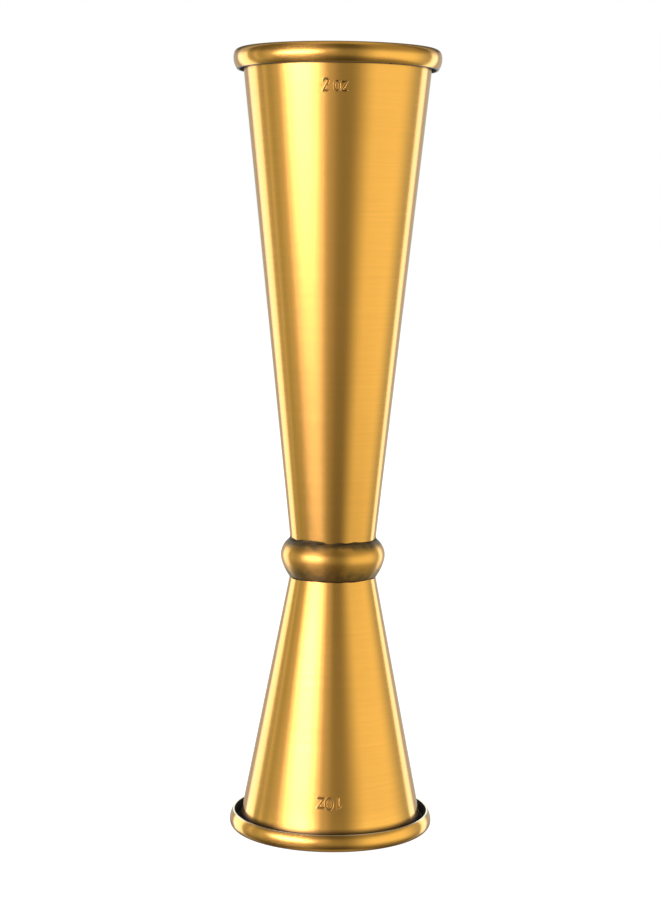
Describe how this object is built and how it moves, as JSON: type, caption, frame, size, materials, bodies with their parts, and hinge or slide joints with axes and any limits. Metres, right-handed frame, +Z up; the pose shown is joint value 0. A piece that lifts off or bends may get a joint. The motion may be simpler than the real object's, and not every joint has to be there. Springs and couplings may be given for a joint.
{
  "type": "bar jigger",
  "caption": "Slim double-ended bar jigger for measuring spirits: two conical cups with rolled rims, joined floor to floor inside a beaded waist collar.",
  "frame": {"origin": "centre of the small cup's rim, on the surface that the jigger stands on", "axes": "+Z up the axis of both cups, from the small cup to the large one; the stamped capacity marks face -Y"},
  "size_m": [0.042, 0.042, 0.1596],
  "materials": {
    "cup_metal": "satin, fine lines round the axis, gold coated",
    "collar_metal": "polished, gold coated",
    "braze": "dull, as flowed",
    "weld": "as welded"
  },
  "bodies": {
    "root": {"upper_cup": "cup_metal", "lower_cup": "cup_metal", "waist_collar": "collar_metal", "collar_braze_upper": "braze", "collar_braze_lower": "braze", "cup_joint_weld": "weld"}
  },
  "joints": []
}
